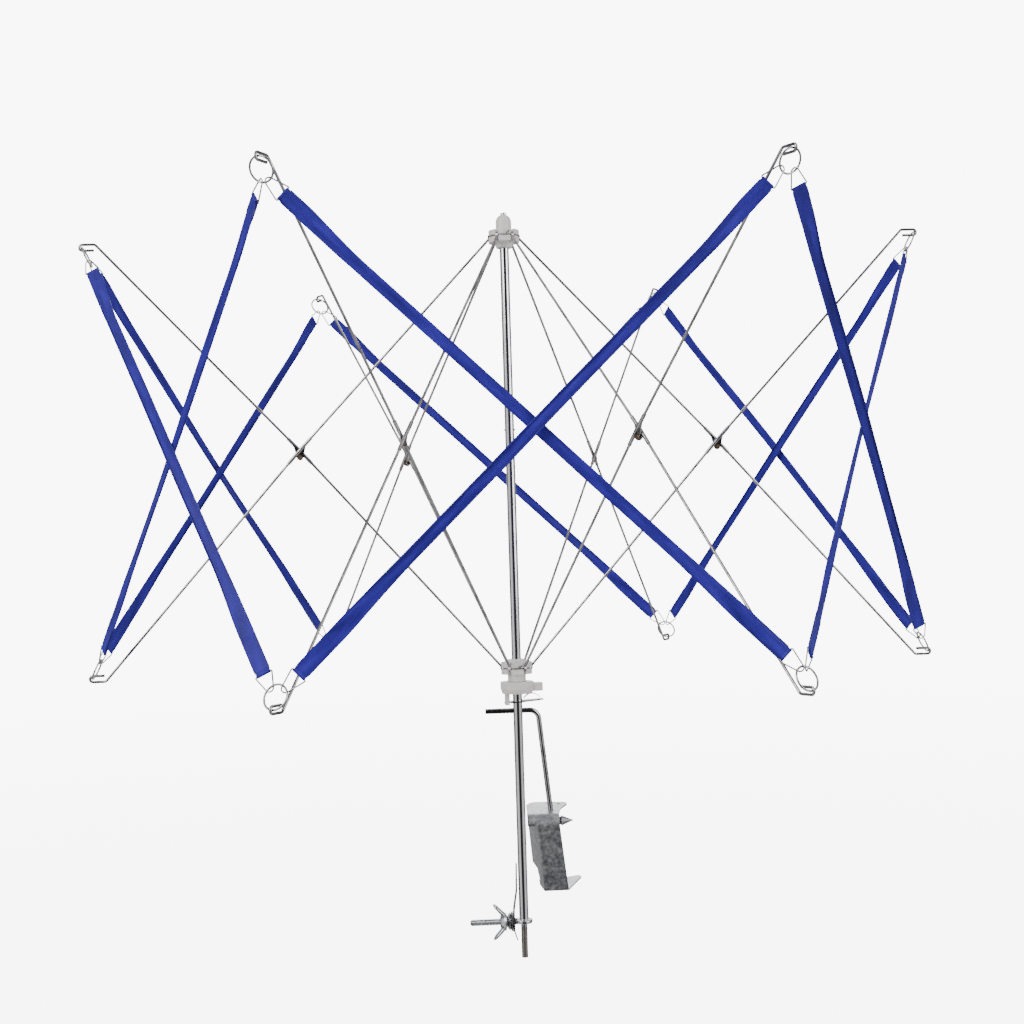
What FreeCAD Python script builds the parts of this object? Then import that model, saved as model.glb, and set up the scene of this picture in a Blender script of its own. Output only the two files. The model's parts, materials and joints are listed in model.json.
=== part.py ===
import FreeCAD, Part
import math
import os
from FreeCAD import Matrix, Placement, Rotation, Vector

# Umbrella yarn swift with a table clamp. Millimetres, +Z up the shaft, origin at the centre of the
# shaft's bottom end. Six scissor arms stand every 60 degrees, arm 0 along +X, and each arm's own
# plane holds +X outwards and +Z up; +Y there is the arm's sideways direction.

doc = FreeCAD.newDocument("yarn_swift")
sheet = doc.addObject("Spreadsheet::Sheet", "Sizes")

SIZES = (
    ("ShaftRadius", 3.5, "round steel shaft"),
    ("FootRadius", 2.4, "plain lower end of the shaft"),
    ("FootLength", 25.0, "length of the plain lower end"),
    ("ShoulderHeight", 549.0, "where the shaft steps down inside the cap"),
    ("TipPinRadius", 1.9, "spigot through the cap"),
    ("TipPinLength", 8.2, "length of the spigot"),
    ("TipHeadRadius", 2.3, "peened head on the cap"),
    ("TipHeadHeight", 0.9, "height of the peened head"),
    ("StopPinRadius", 0.6, "cross pin that stops the runner"),
    ("StopPinLength", 8.8, "length of the cross pin"),
    ("StopPinHeight", 394.5, "height of the cross pin"),
    ("BoreRadius", 3.55, "bore of both hubs on the shaft"),
    ("PivotRadius", 10.0, "rib eyelets from the shaft's centre"),
    ("TopPivotHeight", 540.0, "eyelets of the top hub"),
    ("RunnerPivotHeight", 216.0, "eyelets of the runner"),
    ("ArmHalfSpan", 147.0, "from an eyelet out to the rivet"),
    ("WireRise", 5.0, "the ribs cross this far above their rivet"),
    ("WireSideStep", 1.6, "each rib passes the other at this offset"),
    ("RibRadius", 1.0, "plated rib wire"),
    ("EyeReach", 9.3, "from the rib's elbow to the tip loop's centre"),
    ("EyeBendRadius", 2.2, "bend of the tip loop"),
    ("ElbowRadius", 3.0, "bend where the rib turns level"),
    ("EyeletRadius", 2.2, "flattened hub end of a rib"),
    ("EyeletHole", 0.8, "hole for the tie wire"),
    ("EyeletWidth", 2.0, "width of the flattened end"),
    ("SaddleRadius", 1.4, "crimped sleeve on a rib"),
    ("SaddleLength", 13.0, "sleeve each side of the crossing"),
    ("EarThickness", 0.8, "sheet of the saddle's ear"),
    ("EarGap", 0.25, "ear to the arm's middle plane"),
    ("RivetRadius", 1.1, "rivet shank"),
    ("RivetHoleRadius", 1.15, "hole in the ears"),
    ("RivetHeadRadius", 1.75, "rivet head"),
    ("RivetHeadHeight", 0.8, "rivet head height"),
    ("TieWireRadius", 0.45, "wire that threads the eyelets"),
    ("TieWirePlay", 0.12, "room round the tie wire in its groove"),
    ("RimRadius", 11.6, "notched rim of a hub"),
    ("RimHeight", 9.0, "height of the rim"),
    ("SlotWidth", 2.6, "notch for one rib"),
    ("SlotFloor", 7.2, "how deep the notches reach towards the shaft"),
    ("CapRadius", 5.9, "domed cap"),
    ("RingRadius", 7.8, "ring centre line"),
    ("RingWireRadius", 0.7, "ring wire"),
    ("RingTilt", 24.5, "rings lean towards the shaft, degrees"),
    ("InnerContact", 21.0, "where an inner strap pulls on a ring, degrees"),
    ("OuterContact", 46.0, "where an outer strap pulls on a ring, degrees"),
    ("BailWireRadius", 0.5, "triangular wire bail"),
    ("BailLength", 11.5, "ring to hem"),
    ("BailHalfWidth", 5.5, "half the bail's base"),
    ("BailTopRadius", 2.3, "bend round the ring"),
    ("BailCornerRadius", 1.0, "bends at the base"),
    ("BailSeat", 0.3, "upper bails sit this far down the strap"),
    ("BailPlay", 0.3, "free play of the lower bails"),
    ("BailOpening", 3.8, "gap in a lower bail's top, where the ring's wire can leave it"),
    ("RibbonWidth", 10.0, "ribbon width"),
    ("RibbonThickness", 1.0, "ribbon thickness"),
    ("HemRadius", 1.15, "hem round the bail's base"),
    ("HemInset", 0.6, "the hem stops this far short of the ribbon's edges"),
    ("HemHoleRadius", 0.6, "channel inside the hem"),
    ("CollarRadius", 12.5, "collar under the runner"),
    ("CollarHeight", 8.7, "height of the collar"),
    ("CollarBottom", 197.0, "underside of the collar"),
    ("SpigotRadius", 5.2, "runner's spigot inside the collar"),
    ("PlateThickness", 1.0, "tilting lock plate"),
    ("PlateRestTilt", 3.6, "lock plate at rest, degrees"),
    ("ClampRodRadius", 2.0, "cross rod of the clamp"),
    ("ClampRodHole", 2.05, "cross hole in the shaft"),
    ("ClampRodHeight", 184.0, "height of the cross hole"),
    ("ClampRodBend", 7.0, "bend of the cross rod"),
    ("ClampRodLean", 6.2, "lean of the rod's leg, degrees"),
    ("JawPitch", 10.0, "the jaw hangs swung back, degrees"),
    ("SheetThickness", 1.2, "pressed sheet of the jaw"),
    ("SpikeShankRadius", 3.0, "shank of the jaw's spike"),
    ("SpikeRadius", 4.0, "base of the spike's cone"),
    ("BoltRadius", 2.5, "clamp bolt"),
    ("BoltHeight", 27.0, "height of the clamp bolt"),
    ("BoltEyeRadius", 6.5, "eye of the bolt round the shaft"),
)
for row, (alias, value, meaning) in enumerate(SIZES, start=1):
    sheet.set("A%d" % row, alias)
    sheet.set("B%d" % row, str(value))
    sheet.setAlias("B%d" % row, alias)
    sheet.set("C%d" % row, meaning)
doc.recompute()
S = {alias: float(sheet.get(alias)) for alias, value, meaning in SIZES}

ARMS = 6
ARM_ANGLE = 360.0 / ARMS
LONG = 60.0  # longer than any hole that a cutter makes
X_AXIS, Y_AXIS, Z_AXIS = Vector(1, 0, 0), Vector(0, 1, 0), Vector(0, 0, 1)
ALONG_X = Rotation(Y_AXIS, 90)  # turns a cylinder's own axis to +X
ALONG_MINUS_X = Rotation(Y_AXIS, -90)
ALONG_Y = Rotation(X_AXIS, -90)
UPRIGHT_SHEET = Rotation(X_AXIS, 90)  # a blank drawn in XY stands up in XZ, thickness towards -Y

parts = {}


def bound(kind, name, place=None, **expressions):
    """A document object whose properties are bound to the sheet."""
    thing = doc.addObject(kind, name)
    for prop, expression in expressions.items():
        thing.setExpression(prop, expression)
    if place is not None:
        thing.Placement = place
    return thing


def cylinder(name, radius, height, place=None):
    return bound("Part::Cylinder", name, place, Radius=radius, Height=height)


def cone(name, base, top, height, place=None):
    return bound("Part::Cone", name, place, Radius1=base, Radius2=top, Height=height)


def box(name, length, width, height, place=None):
    return bound("Part::Box", name, place, Length=length, Width=width, Height=height)


def at(x=0.0, y=0.0, z=0.0, turn=None):
    return Placement(Vector(x, y, z), turn or Rotation())


def fuse(name, shapes):
    joined = doc.addObject("Part::MultiFuse", name)
    joined.Shapes = shapes
    return joined


def cut(name, base, tools):
    """base less every tool."""
    result = doc.addObject("Part::Cut", name)
    result.Base = base
    result.Tool = tools[0] if len(tools) == 1 else fuse(name + "_cutters", tools)
    return result


def keep(name, thing, place=None):
    """Files one finished sub-part under its node name."""
    thing.Label = name
    if place is not None:
        thing.Placement = place
    parts[name] = thing
    return thing


def frame_place(x_dir, y_dir, z_dir, origin):
    """A placement from three unit directions and an origin."""
    return Placement(Matrix(
        x_dir.x, y_dir.x, z_dir.x, origin.x,
        x_dir.y, y_dir.y, z_dir.y, origin.y,
        x_dir.z, y_dir.z, z_dir.z, origin.z,
        0, 0, 0, 1))


def arm_turn(arm):
    return Placement(Vector(), Rotation(Z_AXIS, arm * ARM_ANGLE))


def blank(name, outline, thickness, holes=(), place=None):
    """A flat blank: a sketched outline padded by its thickness.

    A point of the outline is (x, y); (x, y, through_x, through_y) comes to (x, y) along an arc."""
    body = doc.addObject("PartDesign::Body", name)
    sketch = body.newObject("Sketcher::SketchObject", name + "_outline")
    plane = [part for part in body.Origin.OriginFeatures if part.Role == "XY_Plane"][0]
    sketch.AttachmentSupport = [(plane, "")]
    sketch.MapMode = "FlatFace"
    last = Vector(outline[-1][0], outline[-1][1], 0)
    for point in outline:
        end = Vector(point[0], point[1], 0)
        if len(point) == 4:
            edge = Part.Arc(last, Vector(point[2], point[3], 0), end)
        else:
            edge = Part.LineSegment(last, end)
        sketch.addGeometry(edge, False)
        last = end
    for x, y, radius in holes:
        sketch.addGeometry(Part.Circle(Vector(x, y, 0), Z_AXIS, radius), False)
    pad = body.newObject("PartDesign::Pad", name + "_pad")
    pad.Profile = sketch
    pad.setExpression("Length", thickness)
    if place is not None:
        body.Placement = place
    return body


def bent_path(corners, radii, closed=False):
    """Straight runs through the corners, each corner rounded to its radius."""
    count = len(corners)
    entries, exits, arcs = [], [], []
    for i, corner in enumerate(corners):
        if not closed and i in (0, count - 1):
            entries.append(corner)
            exits.append(corner)
            arcs.append(None)
            continue
        back = (corners[i - 1] - corner).normalize()
        ahead = (corners[(i + 1) % count] - corner).normalize()
        half = back.getAngle(ahead) / 2
        reach = radii[i] / math.tan(half)
        bisector = (back + ahead).normalize()
        centre = corner + bisector * (radii[i] / math.sin(half))
        entries.append(corner + back * reach)
        exits.append(corner + ahead * reach)
        arcs.append(Part.Arc(entries[i], centre - bisector * radii[i], exits[i]).toShape())
    edges = []
    for i in range(count):
        if arcs[i] is not None:
            edges.append(arcs[i])
        following = (i + 1) % count
        if (closed or following) and (entries[following] - exits[i]).Length > 1e-6:
            edges.append(Part.LineSegment(exits[i], entries[following]).toShape())
    return Part.Wire(edges)


def bent_wire(name, corners, radii, radius, closed=False):
    """Round wire of one radius swept along a bent path."""
    route = doc.addObject("Part::Feature", name + "_route")
    route.Shape = bent_path(corners, radii, closed)
    first = route.Shape.Edges[0]
    start = first.valueAt(first.FirstParameter)
    heading = first.tangentAt(first.FirstParameter)
    section = bound("Part::Circle", name + "_section",
                    Placement(start, Rotation(Z_AXIS, heading)), Radius=radius)
    wire = doc.addObject("Part::Sweep", name)
    wire.Sections = [section]
    wire.Spine = (route, ["Edge%d" % (i + 1) for i in range(len(route.Shape.Edges))])
    wire.Solid = True
    wire.Frenet = False
    wire.Transition = "Right corner"
    return wire


def torus(name, ring_radius, wire_radius, place=None):
    return bound("Part::Torus", name, place, Radius1=ring_radius, Radius2=wire_radius)


# ---- shaft and its stop pin ----

def shaft():
    solid = fuse("shaft_turned", [
        cylinder("shaft_foot_end", "Sizes.FootRadius", "Sizes.FootLength + 1"),
        cylinder("shaft_barrel", "Sizes.ShaftRadius", "Sizes.ShoulderHeight - Sizes.FootLength",
                 at(z=S["FootLength"])),
        cylinder("shaft_spigot", "Sizes.TipPinRadius", "Sizes.TipPinLength",
                 at(z=S["ShoulderHeight"])),
        cylinder("shaft_peened_head", "Sizes.TipHeadRadius", "Sizes.TipHeadHeight",
                 at(z=S["ShoulderHeight"] + S["TipPinLength"])),
    ])
    cross_hole = cylinder("shaft_cross_hole", "Sizes.ClampRodHole", "4 * Sizes.ShaftRadius",
                          at(-2 * S["ShaftRadius"], 0, S["ClampRodHeight"], ALONG_X))
    pin_hole = cylinder("shaft_pin_hole", "Sizes.StopPinRadius", "4 * Sizes.ShaftRadius",
                        at(-2 * S["ShaftRadius"], 0, S["StopPinHeight"], ALONG_X))
    keep("shaft", cut("shaft_drilled", solid, [cross_hole, pin_hole]))


def stop_pin():
    keep("stop_pin", cylinder("stop_pin_rod", "Sizes.StopPinRadius", "Sizes.StopPinLength",
                              at(-S["StopPinLength"] / 2, 0, S["StopPinHeight"], ALONG_X)))


# ---- hubs: a notched rim that holds six rib eyelets on a tie wire ----

def hub_cutters(name, pivot_height):
    """Bore is left to each hub; this makes the six notches and the tie wire's groove."""
    tools = []
    half_rim = S["RimHeight"] / 2 + 1
    for arm in range(ARMS):
        notch = at(S["SlotFloor"], -S["SlotWidth"] / 2, pivot_height - half_rim)
        tools.append(box("%s_notch_%d" % (name, arm), "Sizes.RimRadius", "Sizes.SlotWidth",
                         "Sizes.RimHeight + 2", arm_turn(arm).multiply(notch)))
    groove_half = S["TieWireRadius"] + S["TieWirePlay"]
    outer = cylinder(name + "_groove_outer", "Sizes.RimRadius + 1",
                     "2 * (Sizes.TieWireRadius + Sizes.TieWirePlay)", at(z=pivot_height - groove_half))
    inner = cylinder(name + "_groove_inner", "Sizes.PivotRadius - Sizes.TieWireRadius - Sizes.TieWirePlay",
                     "4 * Sizes.TieWireRadius", at(z=pivot_height - 2 * S["TieWireRadius"]))
    tools.append(cut(name + "_groove", outer, [inner]))
    return tools


def tie_wire(name, pivot_height):
    keep(name, torus(name + "_ring", "Sizes.PivotRadius", "Sizes.TieWireRadius", at(z=pivot_height)))


def top_hub():
    height = S["TopPivotHeight"]
    rim_top = height + S["RimHeight"] / 2
    dome_centre = S["ShoulderHeight"] + S["TipPinLength"] - S["CapRadius"] - 0.2
    solid = fuse("top_hub_solid", [
        cone("top_hub_skirt", "Sizes.CapRadius", "Sizes.SlotFloor", "4",
             at(z=height - S["RimHeight"] / 2 - 4)),
        cylinder("top_hub_rim", "Sizes.RimRadius", "Sizes.RimHeight",
                 at(z=height - S["RimHeight"] / 2)),
        cylinder("top_hub_neck", "Sizes.CapRadius", str(dome_centre - rim_top + 0.5),
                 at(z=rim_top - 0.5)),
        bound("Part::Sphere", "top_hub_dome", at(z=dome_centre), Radius="Sizes.CapRadius"),
    ])
    tools = hub_cutters("top_hub", height)
    bore_foot = height - S["RimHeight"]
    tools.append(cylinder("top_hub_bore", "Sizes.BoreRadius",
                          str(S["ShoulderHeight"] + 0.2 - bore_foot), at(z=bore_foot)))
    tools.append(cylinder("top_hub_spigot_hole", "Sizes.TipPinRadius + 0.08", "20",
                          at(z=S["ShoulderHeight"])))
    keep("top_hub", cut("top_hub_notched", solid, tools))


def runner_hub():
    height = S["RunnerPivotHeight"]
    rim_foot = height - S["RimHeight"] / 2
    rim_top = height + S["RimHeight"] / 2
    neck_foot = S["CollarBottom"] + S["CollarHeight"] + 0.3
    spigot_foot = S["CollarBottom"] + 1.2
    solid = fuse("runner_hub_solid", [
        cylinder("runner_rim", "Sizes.RimRadius", "Sizes.RimHeight", at(z=rim_foot)),
        cone("runner_boss", "Sizes.SlotFloor", "Sizes.SlotFloor - 1", "2", at(z=rim_top)),
        cylinder("runner_neck", "Sizes.SlotFloor - 0.35", str(rim_foot - neck_foot + 0.5),
                 at(z=neck_foot)),
        cylinder("runner_spigot", "Sizes.SpigotRadius", str(neck_foot - spigot_foot + 0.5),
                 at(z=spigot_foot)),
        cylinder("runner_lip", "Sizes.SpigotRadius + 0.7", "1.6", at(z=spigot_foot)),
    ])
    tools = hub_cutters("runner_hub", height)
    tools.append(cylinder("runner_bore", "Sizes.BoreRadius", str(LONG), at(z=spigot_foot - 10)))
    keep("runner_hub", cut("runner_hub_notched", solid, tools))


# ---- collar and tilting lock plate under the runner ----

def runner_collar():
    foot = S["CollarBottom"]
    tab_left, tab_width, tab_foot, tab_side = -9.4, 3.4, foot - 8.4, 5.0
    pad_reach, pad_half, pad_foot, pad_height = 14.7, 4.6, foot + 1.5, 6.0
    solid = fuse("collar_solid", [
        cone("collar_skirt", "Sizes.CollarRadius - 1.3", "Sizes.CollarRadius", "3.5", at(z=foot)),
        cylinder("collar_wall", "Sizes.CollarRadius", "Sizes.CollarHeight - 3.5", at(z=foot + 3.5)),
        box("collar_pad", str(pad_reach), str(2 * pad_half), str(pad_height),
            at(0, -pad_half, pad_foot)),
        cylinder("collar_pad_nose", str(pad_half), str(pad_height), at(pad_reach, 0, pad_foot)),
        box("collar_tab", str(tab_width), str(2 * tab_side), str(foot + 1 - tab_foot),
            at(tab_left, -tab_side, tab_foot)),
    ])
    window_low = foot - 7.7
    tools = [
        cylinder("collar_bore", "Sizes.BoreRadius + 0.05", str(LONG), at(z=foot - 1)),
        cylinder("collar_socket", "Sizes.SpigotRadius + 0.07", str(LONG), at(z=foot + 1)),
        cylinder("collar_recess", "Sizes.SpigotRadius + 0.8", "2.1", at(z=foot + 1)),
        box("collar_tab_window", "8", "6.8", "3.0", at(tab_left - 2, -3.4, window_low)),
    ]
    keep("runner_collar", cut("collar_bored", solid, tools))


PLATE_PIVOT = Vector(-7.5, 0, 190.3)


def lock_plate():
    hole_x = -PLATE_PIVOT.x
    nose_x, nose_half = 23.1, 4.0
    outline = [
        (-2.4, -3.0), (2.2, -3.0), (2.2, -6.0), (14.0, -6.0), (nose_x, -nose_half),
        (nose_x, nose_half, nose_x + nose_half, 0.0),
        (14.0, 6.0), (2.2, 6.0), (2.2, 3.0), (-2.4, 3.0),
    ]
    hole_radius = S["ShaftRadius"] + 0.6
    plate = blank("lock_plate_blank", outline, "Sizes.PlateThickness", [(hole_x, 0.0, hole_radius)])
    tilt = Rotation(Y_AXIS, -S["PlateRestTilt"])
    lift = tilt.multVec(Vector(0, 0, -S["PlateThickness"] / 2))
    keep("lock_plate", plate, Placement(PLATE_PIVOT + lift, tilt))


def lock_spring():
    """A bowed leaf between the collar and the lock plate."""
    centre_x, radius, leaf, half_width, height = 10.8, 7.0, 0.5, 3.0, 4.0
    centre_z = S["CollarBottom"] - 0.05 - radius
    turn = at(centre_x, -half_width, centre_z, ALONG_Y)
    outer = cylinder("lock_spring_outer", str(radius), str(2 * half_width), turn)
    inner = cylinder("lock_spring_inner", str(radius - leaf), str(2 * half_width), turn)
    trim_side = 4 * radius
    trim = box("lock_spring_trim", str(trim_side), str(trim_side), str(trim_side),
               at(centre_x - trim_side / 2, -trim_side / 2, centre_z + radius - height - trim_side))
    keep("lock_spring", cut("lock_spring_bow", outer, [inner, trim]))


# ---- ribs, saddles and rivets ----

RIVET = Vector(S["PivotRadius"] + S["ArmHalfSpan"], 0,
               (S["TopPivotHeight"] + S["RunnerPivotHeight"]) / 2)
CROSSING = RIVET + Z_AXIS * S["WireRise"]
ELBOW_X = S["PivotRadius"] + 2 * S["ArmHalfSpan"]
EYE_X = ELBOW_X + S["EyeReach"]


def rib(name, arm, hub_height, tip_height, side):
    """One rib: hub eyelet, wire past the crossing, and a closed loop at its tip.

    side is +1 for the ribs from the top hub and -1 for those from the runner; the tip loop's
    second bar lies on the side that faces the middle of the reel."""
    inward = 1.0 if tip_height < RIVET.z else -1.0
    eyelet_centre = Vector(S["PivotRadius"], 0, hub_height)
    crossing = CROSSING + Y_AXIS * side * S["WireSideStep"]
    elbow = Vector(ELBOW_X, 0, tip_height)
    bend = S["EyeBendRadius"]
    bar_end = EYE_X + bend
    heading = (crossing - eyelet_centre).normalize()
    corners = [
        eyelet_centre + heading * (S["EyeletHole"] + 0.6),
        crossing,
        elbow,
        Vector(bar_end, 0, tip_height),
        Vector(bar_end, 0, tip_height + inward * 2 * bend),
        Vector(ELBOW_X + 0.8, 0, tip_height + inward * 2 * bend),
    ]
    radii = [0, 60.0, S["ElbowRadius"], bend, bend, 0]
    wire = bent_wire(name + "_wire", corners, radii, "Sizes.RibRadius")
    eyelet = cylinder(name + "_eyelet", "Sizes.EyeletRadius", "Sizes.EyeletWidth",
                      at(eyelet_centre.x, -S["EyeletWidth"] / 2, eyelet_centre.z, ALONG_Y))
    sleeve_ends = [crossing + (far - crossing).normalize() * S["SaddleLength"]
                   for far in (eyelet_centre, elbow)]
    sleeve = bent_wire(name + "_sleeve", [sleeve_ends[0], crossing, sleeve_ends[1]], [0, 60.0, 0],
                       "Sizes.SaddleRadius")
    slope = (elbow - eyelet_centre).normalize()
    half_base = 8.0
    left = Vector(CROSSING.x - half_base * slope.x, CROSSING.z - half_base * slope.z, 0)
    right = Vector(CROSSING.x + half_base * slope.x, CROSSING.z + half_base * slope.z, 0)
    lobe = 2.3
    ear_face = S["EarGap"] + S["EarThickness"] if side > 0 else -S["EarGap"]
    ear = blank(name + "_ear", [
        (left.x, left.y), (RIVET.x - lobe, RIVET.z),
        (RIVET.x + lobe, RIVET.z, RIVET.x, RIVET.z - lobe), (right.x, right.y)],
        "Sizes.EarThickness", place=at(0, ear_face, 0, UPRIGHT_SHEET))
    solid = fuse(name + "_solid", [wire, eyelet, ear, sleeve])
    eyelet_hole = cylinder(name + "_eyelet_hole", "Sizes.EyeletHole", "2 * Sizes.EyeletWidth",
                           at(eyelet_centre.x, -S["EyeletWidth"], eyelet_centre.z, ALONG_Y))
    rivet_hole = cylinder(name + "_rivet_hole", "Sizes.RivetHoleRadius", "2.4",
                          at(RIVET.x, -1.2, RIVET.z, ALONG_Y))
    threaded = cut(name + "_threaded", solid, [eyelet_hole])
    keep(name, cut(name + "_pierced", threaded, [rivet_hole]), arm_turn(arm))


def rivet(arm):
    name = "rivet_%d" % arm
    face = S["EarGap"] + S["EarThickness"] + 0.05
    half = face + S["RivetHeadHeight"] / 2
    pieces = [cylinder(name + "_shank", "Sizes.RivetRadius", str(2 * half),
                       at(RIVET.x, -half, RIVET.z, ALONG_Y))]
    for head, y in (("near", -face - S["RivetHeadHeight"]), ("far", face)):
        pieces.append(cylinder("%s_%s_head" % (name, head), "Sizes.RivetHeadRadius",
                               "Sizes.RivetHeadHeight", at(RIVET.x, y, RIVET.z, ALONG_Y)))
    keep(name, fuse(name + "_solid", pieces), arm_turn(arm))


# ---- rings at the rib tips ----

def ring_down(upper):
    """The direction in the arm's plane in which a ring hangs from its rib's tip loop."""
    tilt = math.radians(S["RingTilt"])
    return Vector(-math.sin(tilt), 0, -math.cos(tilt) if upper else math.cos(tilt))


def ring_hang(upper):
    """Where a ring's wire passes through the tip loop, in the arm's plane."""
    if upper:
        return Vector(EYE_X, 0, S["TopPivotHeight"] - S["EyeBendRadius"])
    return Vector(EYE_X, 0, S["RunnerPivotHeight"] + S["EyeBendRadius"])


def ring(name, arm, upper):
    down = ring_down(upper)
    centre = ring_hang(upper) + down * S["RingRadius"]
    place = frame_place(down, Y_AXIS, down.cross(Y_AXIS), centre)
    keep(name, torus(name + "_wire", "Sizes.RingRadius", "Sizes.RingWireRadius"),
         arm_turn(arm).multiply(place))


# ---- straps: a ribbon between two bails, from an upper ring to the next arm's lower ring ----

def contact(arm, upper, side, angle):
    """The point of a ring's wire that a strap pulls on, in the row frame."""
    down = ring_down(upper)
    turn = math.radians(angle)
    along = down * (S["RingRadius"] * (1 + math.cos(turn)))
    sideways = Y_AXIS * (side * S["RingRadius"] * math.sin(turn))
    return arm_turn(arm).multVec(ring_hang(upper) + along + sideways)


def bail(name, centre_x, base_x):
    """A closed triangle of wire, its rounded top at centre_x and its base at base_x."""
    direction = 1.0 if base_x > centre_x else -1.0
    depth, half, top = abs(base_x - centre_x), S["BailHalfWidth"], S["BailTopRadius"]
    lean = math.acos(top / math.hypot(half, depth)) - math.atan2(depth, half)
    apex_x = centre_x - direction * top / math.sin(lean)
    corners = [Vector(apex_x, 0, 0), Vector(base_x, 0, half), Vector(base_x, 0, -half)]
    radii = [top, S["BailCornerRadius"], S["BailCornerRadius"]]
    return bent_wire(name, corners, radii, "Sizes.BailWireRadius", closed=True)


def hem(name, x):
    half = S["RibbonWidth"] / 2 - S["HemInset"]
    return cylinder(name, "Sizes.HemRadius", "Sizes.RibbonWidth - 2 * Sizes.HemInset", at(x, 0, -half))


def strap(arm, side):
    """The strap from arm's upper ring down to the lower ring of the arm beside it."""
    other = (arm + side) % ARMS
    name = "strap_%d_%d" % (arm, other)
    angle = S["OuterContact"] if arm % 2 else S["InnerContact"]
    start = contact(arm, True, side, angle)
    end = contact(other, False, -side, angle)
    along = end - start
    length = along.Length
    along.normalize()
    outward = Rotation(Z_AXIS, (arm + side / 2) * ARM_ANGLE).multVec(X_AXIS)
    hem_start, hem_end = S["BailLength"], length - S["BailLength"] + S["BailPlay"]
    ribbon = box(name + "_web", str(hem_end - hem_start), "Sizes.RibbonThickness", "Sizes.RibbonWidth",
                 at(hem_start, -S["RibbonThickness"] / 2, -S["RibbonWidth"] / 2))
    solid = fuse(name + "_sewn", [ribbon, hem(name + "_hem_a", hem_start), hem(name + "_hem_b", hem_end)])
    channels = [cylinder("%s_channel_%s" % (name, tag), "Sizes.HemHoleRadius", "2 * Sizes.RibbonWidth",
                         at(x, 0, -S["RibbonWidth"])) for tag, x in (("a", hem_start), ("b", hem_end))]
    notch = "2 * (Sizes.HemRadius + 0.3)"
    margin, reach = S["RibbonWidth"] / 2 - S["HemInset"], 4.0
    for tag, x in (("a", hem_start), ("b", hem_end)):
        for edge, z in (("low", -margin - reach), ("high", margin)):
            channels.append(box("%s_corner_%s_%s" % (name, tag, edge), notch, notch, str(reach),
                                at(x - S["HemRadius"] - 0.3, -S["HemRadius"] - 0.3, z)))
    web = cut(name + "_ribbon", solid, channels)
    lower_top = length + S["BailPlay"]
    opening = box(name + "_bail_opening", "2 * Sizes.BailTopRadius", "4 * Sizes.BailWireRadius",
                  "Sizes.BailOpening", at(lower_top, -2 * S["BailWireRadius"], -S["BailOpening"] / 2))
    bails = [bail(name + "_bail_a", S["BailSeat"], hem_start),
             cut(name + "_bail_b_open", bail(name + "_bail_b", lower_top, hem_end), [opening])]
    whole = doc.addObject("Part::Compound", name + "_assembled")
    whole.Links = [web] + bails
    keep(name, whole, frame_place(along, outward, along.cross(outward), start))


# ---- table clamp: cross rod with a sheet jaw, and a bolt with a wing nut ----

JAW_SWING = Placement(Vector(), Rotation(X_AXIS, S["JawPitch"]), Vector(0, 0, S["ClampRodHeight"]))
ROD_START = -24.4
ROD_BEND_START = 8.6
FLANGE_TOP = 105.0
FLANGE_FOOT = 46.0
FRONT = -13.0  # front face of the jaw before it is swung back
SPIKE_Y, SPIKE_Z = 3.0, 95.5
SPIKE_HEAD_X, SPIKE_BASE_X, SPIKE_LENGTH = 6.9, 31.6, 9.2


def clamp_rod():
    lean = math.radians(S["ClampRodLean"])
    height = S["ClampRodHeight"]
    turn = math.pi / 2 - lean
    corner_x = ROD_BEND_START + S["ClampRodBend"] * math.tan(turn / 2)
    foot = FLANGE_TOP - S["SheetThickness"] - 1.6
    foot_x = corner_x + (height - foot) * math.tan(lean)
    corners = [Vector(ROD_START, 0, height), Vector(corner_x, 0, height), Vector(foot_x, 0, foot)]
    leg = bent_wire("clamp_rod_bent", corners, [0, S["ClampRodBend"], 0], "Sizes.ClampRodRadius")
    head = cylinder("clamp_rod_head", "Sizes.ClampRodRadius + 1", "1.2", at(foot_x, 0, foot - 0.3))
    flange_x = corner_x + (height - FLANGE_TOP + S["SheetThickness"] / 2) * math.tan(lean)
    keep("clamp_rod", fuse("clamp_rod_solid", [leg, head]), JAW_SWING)
    return flange_x


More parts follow.
